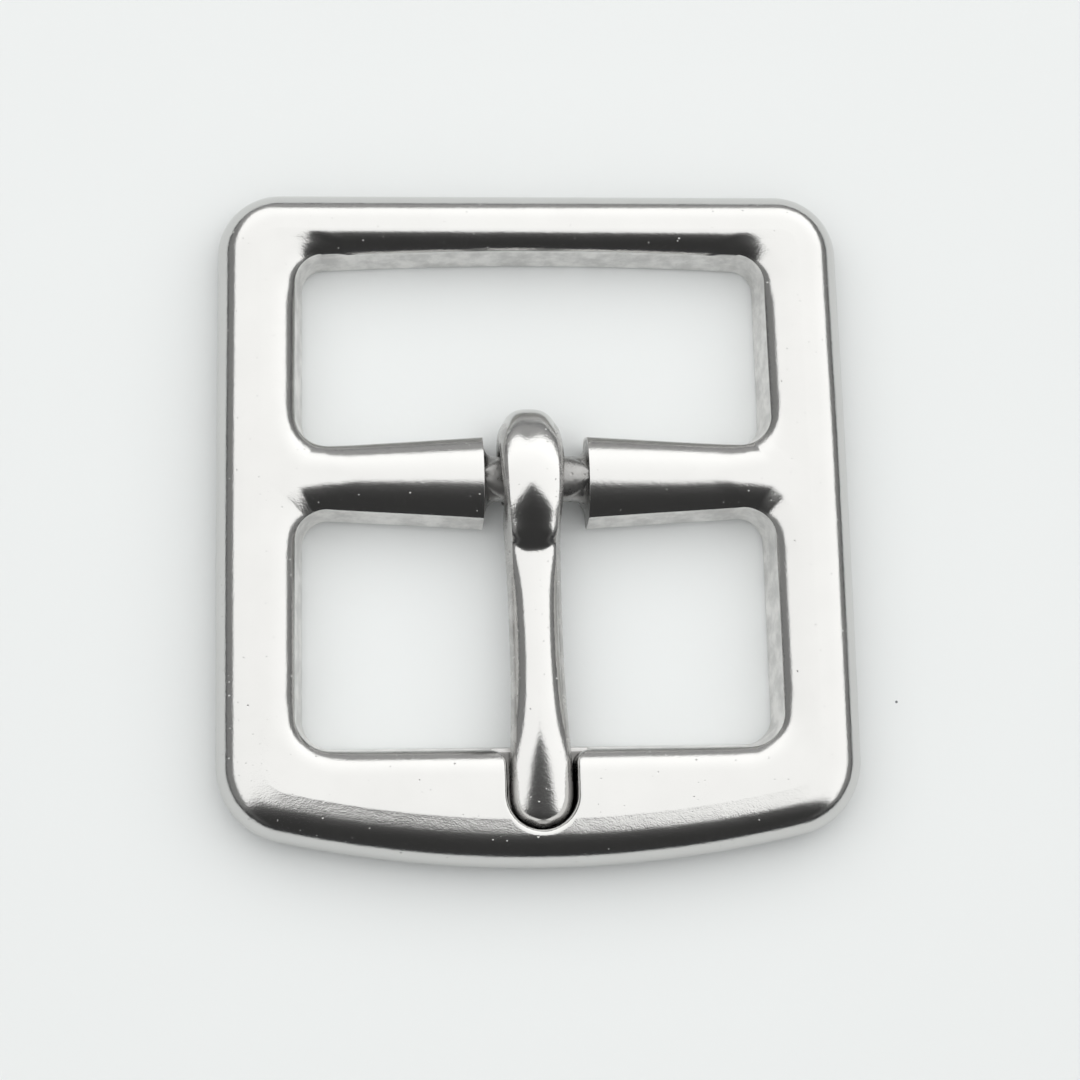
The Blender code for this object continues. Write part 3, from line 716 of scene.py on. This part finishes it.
def polished(name, base, rough, shaded_seat=False):
    n = Nodes(name)
    s = n.shader
    s.inputs["Metallic"].default_value = 1.0
    wave = n.noise(1.7, 1.0, 0.4)
    ripple = n.noise(0.42, 2.0, 0.55)
    grain = n.noise(0.13, 2.0, 0.6)
    hole = pits(n, 1.5, 0.34, 0.085)
    speck = pits(n, 0.62, 0.42, 0.15)
    height = n.math("MULTIPLY", wave, 0.008)
    height = n.math("MULTIPLY_ADD", ripple, 0.0060, height)
    height = n.math("MULTIPLY_ADD", grain, 0.0080, height)
    height = n.math("MULTIPLY_ADD", hole, -0.050, height)
    height = n.math("MULTIPLY_ADD", speck, -0.030, height)
    n.bump(height)
    worn = n.ramp(n.noise(3.1, 3.0, 0.6), 0.35, 0.75)
    roughness = n.ramp(worn, 0, 1, rough, rough + 0.035, "LINEAR")
    roughness = n.math("MULTIPLY_ADD", hole, 0.35, roughness)
    n.link(roughness, s.inputs["Roughness"])
    tone = n.noise(4.0, 2.0, 0.5)
    shade = n.colour(tone, tuple(0.97 * c for c in base), tuple(min(1.03 * c, 1) for c in base))
    if shaded_seat:
        # painted shade: the seat's surface is darkened the deeper it lies in the recess
        seat_shade = n.ramp(n.attribute("seat_depth"), 0.75, 1.9)
        mix = n.tree.nodes.new("ShaderNodeMix")
        mix.data_type = "RGBA"
        mix.inputs[7].default_value = (0.16, 0.157, 0.152, 1)
        n.link(seat_shade, mix.inputs[0])
        n.link(shade, mix.inputs[6])
        shade = mix.outputs[2]
    n.link(shade, s.inputs["Base Color"])
    return n.material


def cast(name, base, rough, metallic=0.62, depth=1.0):
    n = Nodes(name)
    s = n.shader
    s.inputs["Metallic"].default_value = metallic
    lumps = n.noise(0.9, 3.0, 0.6)
    grit = n.noise(0.22, 3.0, 0.65)
    hole = pits(n, 0.55, 0.35, 0.28)
    height = n.math("MULTIPLY", lumps, 0.030 * depth)
    height = n.math("MULTIPLY_ADD", grit, 0.018 * depth, height)
    height = n.math("MULTIPLY_ADD", hole, -0.045 * depth, height)
    n.bump(height)
    patch = n.ramp(n.noise(1.6, 3.0, 0.6), 0.3, 0.7)
    n.link(n.ramp(patch, 0, 1, rough - 0.08, rough + 0.10, "LINEAR"), s.inputs["Roughness"])
    n.link(n.colour(patch, tuple(0.70 * c for c in base), base), s.inputs["Base Color"])
    return n.material


def ground(name, base, rough):
    n = Nodes(name)
    s = n.shader
    s.inputs["Metallic"].default_value = 1.0
    lines = n.noise(0.09, 3.0, 0.6, stretch=(0.02, 1.0, 1.0), rotation=(0, 0, math.radians(4)))
    wide = n.noise(0.7, 3.0, 0.6, stretch=(0.05, 1.0, 1.0), rotation=(0, 0, math.radians(4)))
    hole = pits(n, 0.9, 0.25, 0.12)
    height = n.math("MULTIPLY", lines, 0.0040)
    height = n.math("MULTIPLY_ADD", wide, 0.0050, height)
    height = n.math("MULTIPLY_ADD", hole, -0.020, height)
    n.bump(height)
    n.link(n.ramp(n.noise(2.2, 3.0, 0.6), 0.3, 0.7, rough - 0.05, rough + 0.07), s.inputs["Roughness"])
    n.link(n.colour(wide, tuple(0.86 * c for c in base), base), s.inputs["Base Color"])
    return n.material


steel = (0.636, 0.634, 0.623)
tongue_steel = (0.652, 0.649, 0.638)
frame_materials = [
    # the frame's polished steel, with painted shade darkening the bottom of the seat
    polished("polished_steel", steel, 0.105, shaded_seat=True),
    # the window walls: as-cast satin steel, partly matt; its light base colour is partly painted light that brightens
    # the walls
    cast("as_cast_wall_steel_painted_light", (0.80, 0.795, 0.78), 0.38),
    ground("ground_back_steel", (0.58, 0.572, 0.555), 0.26),
    # the neck under the tongue's loop: as-cast steel, its darker base colour is painted shade between the parts
    cast("as_cast_neck_steel_painted_shade", (0.42, 0.416, 0.408), 0.30, 0.92, 0.9),
]
tongue_materials = [
    polished("polished_tongue_steel", tongue_steel, 0.095),
    cast("as_cast_tongue_flank_steel", (0.60, 0.592, 0.58), 0.24, 0.85, 0.35),
]

verts, faces, slots = both_halves(*frame_arrays())
verts, seat_depth = sink_seat(verts)
verts[:, 1] += BAR_Y
buckle = mesh_object("buckle_frame_body", verts, faces, slots, frame_materials, [("seat_depth", seat_depth)])
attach(buckle, "frame")
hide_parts("buckle_frame")

prong = tongue_object("tongue_body", tongue_materials)
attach(prong, "tongue")
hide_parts("tongue")


# ------------------------------------------------------------------ floor, light and camera
def paper(name):
    n = Nodes(name)
    s = n.shader
    # a few motes of dust lie on the sheet
    mote = n.ramp(pits(n, 7.0, 0.45, 0.022), 0.0, 0.4)
    sheet = n.colour(n.noise(60.0, 2.0, 0.5), (0.786, 0.806, 0.806), (0.798, 0.818, 0.818))
    mix = n.tree.nodes.new("ShaderNodeMix")
    mix.data_type = "RGBA"
    mix.inputs[7].default_value = (0.16, 0.17, 0.18, 1)
    n.link(mote, mix.inputs[0])
    n.link(sheet, mix.inputs[6])
    n.link(mix.outputs[2], s.inputs["Base Color"])
    s.inputs["Roughness"].default_value = 0.85
    s.inputs["Specular IOR Level"].default_value = 0.15
    n.bump(n.math("MULTIPLY", n.noise(0.8, 2.0, 0.6), 0.01))
    return n.material


floor_mesh = bpy.data.meshes.new("floor")
floor_mesh.from_pydata([(-1.6, -1.6, -0.00003), (1.6, -1.6, -0.00003), (1.6, 1.6, -0.00003), (-1.6, 1.6, -0.00003)], [], [(0, 1, 2, 3)])
floor_mesh.materials.append(paper("pale_paper"))
floor = bpy.data.objects.new("floor", floor_mesh)
bpy.context.scene.collection.objects.link(floor)


def panel(name, x0, x1, y0, y1, radiance, in_metal=True, height=1.0, colour=(1.0, 0.998, 0.988)):
    """A level rectangular light over the table, its edges at these metres from the buckle."""
    light = bpy.data.lights.new(name, "AREA")
    light.shape = "RECTANGLE"
    light.size, light.size_y = x1 - x0, y1 - y0
    light.energy = radiance * math.pi * (x1 - x0) * (y1 - y0)
    light.color = colour
    lamp = bpy.data.objects.new(name, light)
    lamp.location = ((x0 + x1) / 2, (y0 + y1) / 2, height)
    lamp.visible_glossy = in_metal
    bpy.context.scene.collection.objects.link(lamp)


def glow(x, y):
    """Radiance of the ceiling over (x, y), one metre up: a bright sheet open towards the camera's side, a grey room behind it."""
    near = smooth((y + 0.01 + 0.75 * abs(x)) / 0.10 + 0.5)
    sides = smooth((x + 1.60) / 0.16 + 0.5) * smooth((2.25 - x) / 0.16 + 0.5)
    far = smooth((3.1 - y) / 0.25 + 0.5)
    sheet = 1.33 + 0.12 * smooth((x + 1.0) / 2.6) + 0.20 * smooth(y / 1.4)
    behind = 0.44 * smooth((y - 2.6) / 0.5) * smooth((5.0 - abs(x)) / 1.5)
    beside = 0.07 * smooth((abs(x) - 1.4) / 0.4)
    below = max(0.0, -(y + 0.75 * abs(x)))
    dim = 0.050 + 0.16 * math.exp(-below / 0.22)
    notch = smooth((y - 2.15 - 1.5 * abs(x)) / 0.18 + 0.5)
    sheet = lerp(sheet, 0.34, notch)
    inside = near * sides * far
    return lerp(max(behind, beside + dim), sheet, inside)


def ceiling():
    """The sheet and the room behind it as one lit mesh that only the metal sees."""
    xs = [-9.0, -6.5, -5.0, -4.2, -3.6, -3.1, -2.7, -2.4] + spread(-2.2, 2.8, 125) + [3.0, 3.3, 3.7, 4.2, 5.0, 6.5, 9.0]
    ys = [-4.0, -3.3, -2.7, -2.3] + spread(-2.0, 3.6, 140) + [3.9, 4.4, 5.2, 6.5, 9.0, 14.0]
    made = bpy.data.meshes.new("ceiling")
    made.from_pydata(
        [(x, y, 1.0) for y in ys for x in xs],
        [],
        [
            (i + len(xs) * j, i + len(xs) * (j + 1), i + 1 + len(xs) * (j + 1), i + 1 + len(xs) * j)
            for j in range(len(ys) - 1)
            for i in range(len(xs) - 1)
        ],
    )
    made.attributes.new("glow", "FLOAT", "POINT").data.foreach_set("value", [glow(x, y) for y in ys for x in xs])
    material = bpy.data.materials.new("lit_sheet")
    material.use_nodes = True
    tree = material.node_tree
    tree.nodes.clear()
    value = tree.nodes.new("ShaderNodeAttribute")
    value.attribute_name = "glow"
    shine = tree.nodes.new("ShaderNodeEmission")
    shine.inputs["Color"].default_value = (1.0, 0.999, 0.992, 1.0)
    tree.links.new(value.outputs["Fac"], shine.inputs["Strength"])
    tree.links.new(shine.outputs[0], tree.nodes.new("ShaderNodeOutputMaterial").inputs["Surface"])
    material.cycles.emission_sampling = "NONE"
    made.materials.append(material)
    sheet = bpy.data.objects.new("ceiling", made)
    bpy.context.scene.collection.objects.link(sheet)
    sheet.visible_camera = sheet.visible_diffuse = sheet.visible_shadow = sheet.visible_transmission = False


ceiling()
panel("sheet_fill", -1.60, 2.25, -0.10, 2.06, 1.15, in_metal=False)
panel("room_fill", -3.40, 3.40, -3.00, 3.00, 0.74, in_metal=False)

world = bpy.data.worlds.new("dim_room")
world.use_nodes = True
world.node_tree.nodes["Background"].inputs["Color"].default_value = (0.052, 0.052, 0.054, 1.0)
world.node_tree.nodes["Background"].inputs["Strength"].default_value = 1.0
bpy.context.scene.world = world

camera = bpy.data.cameras.new("camera")
camera.sensor_width = 36.0
camera.sensor_fit = "HORIZONTAL"
camera.lens = 103.333
camera.dof.use_dof = False
camera.clip_start = 0.01
camera.clip_end = 20.0
view = bpy.data.objects.new("camera", camera)


def turn(axis, degrees):
    return Matrix.Rotation(math.radians(degrees), 3, axis)


# tilt, roll and turn of the camera over the buckle's back plane
flip = Matrix.Diagonal((1.0, -1.0, -1.0))
seen = turn("Z", -0.359) @ turn("Y", -5.107) @ turn("X", -11.0) @ flip
axes = Matrix((seen[0], -seen[1], -seen[2])).transposed()
away = Vector((-0.67, -4.45, 260.0))
place = -(seen.transposed() @ away) + Vector((0.0, BAR_Y, 0.0))
view.matrix_world = Matrix.Translation(place * MM) @ axes.to_4x4()
bpy.context.scene.collection.objects.link(view)
bpy.context.scene.camera = view

bpy.context.scene.view_settings.view_transform = "Standard"
bpy.context.scene.view_settings.look = "None"
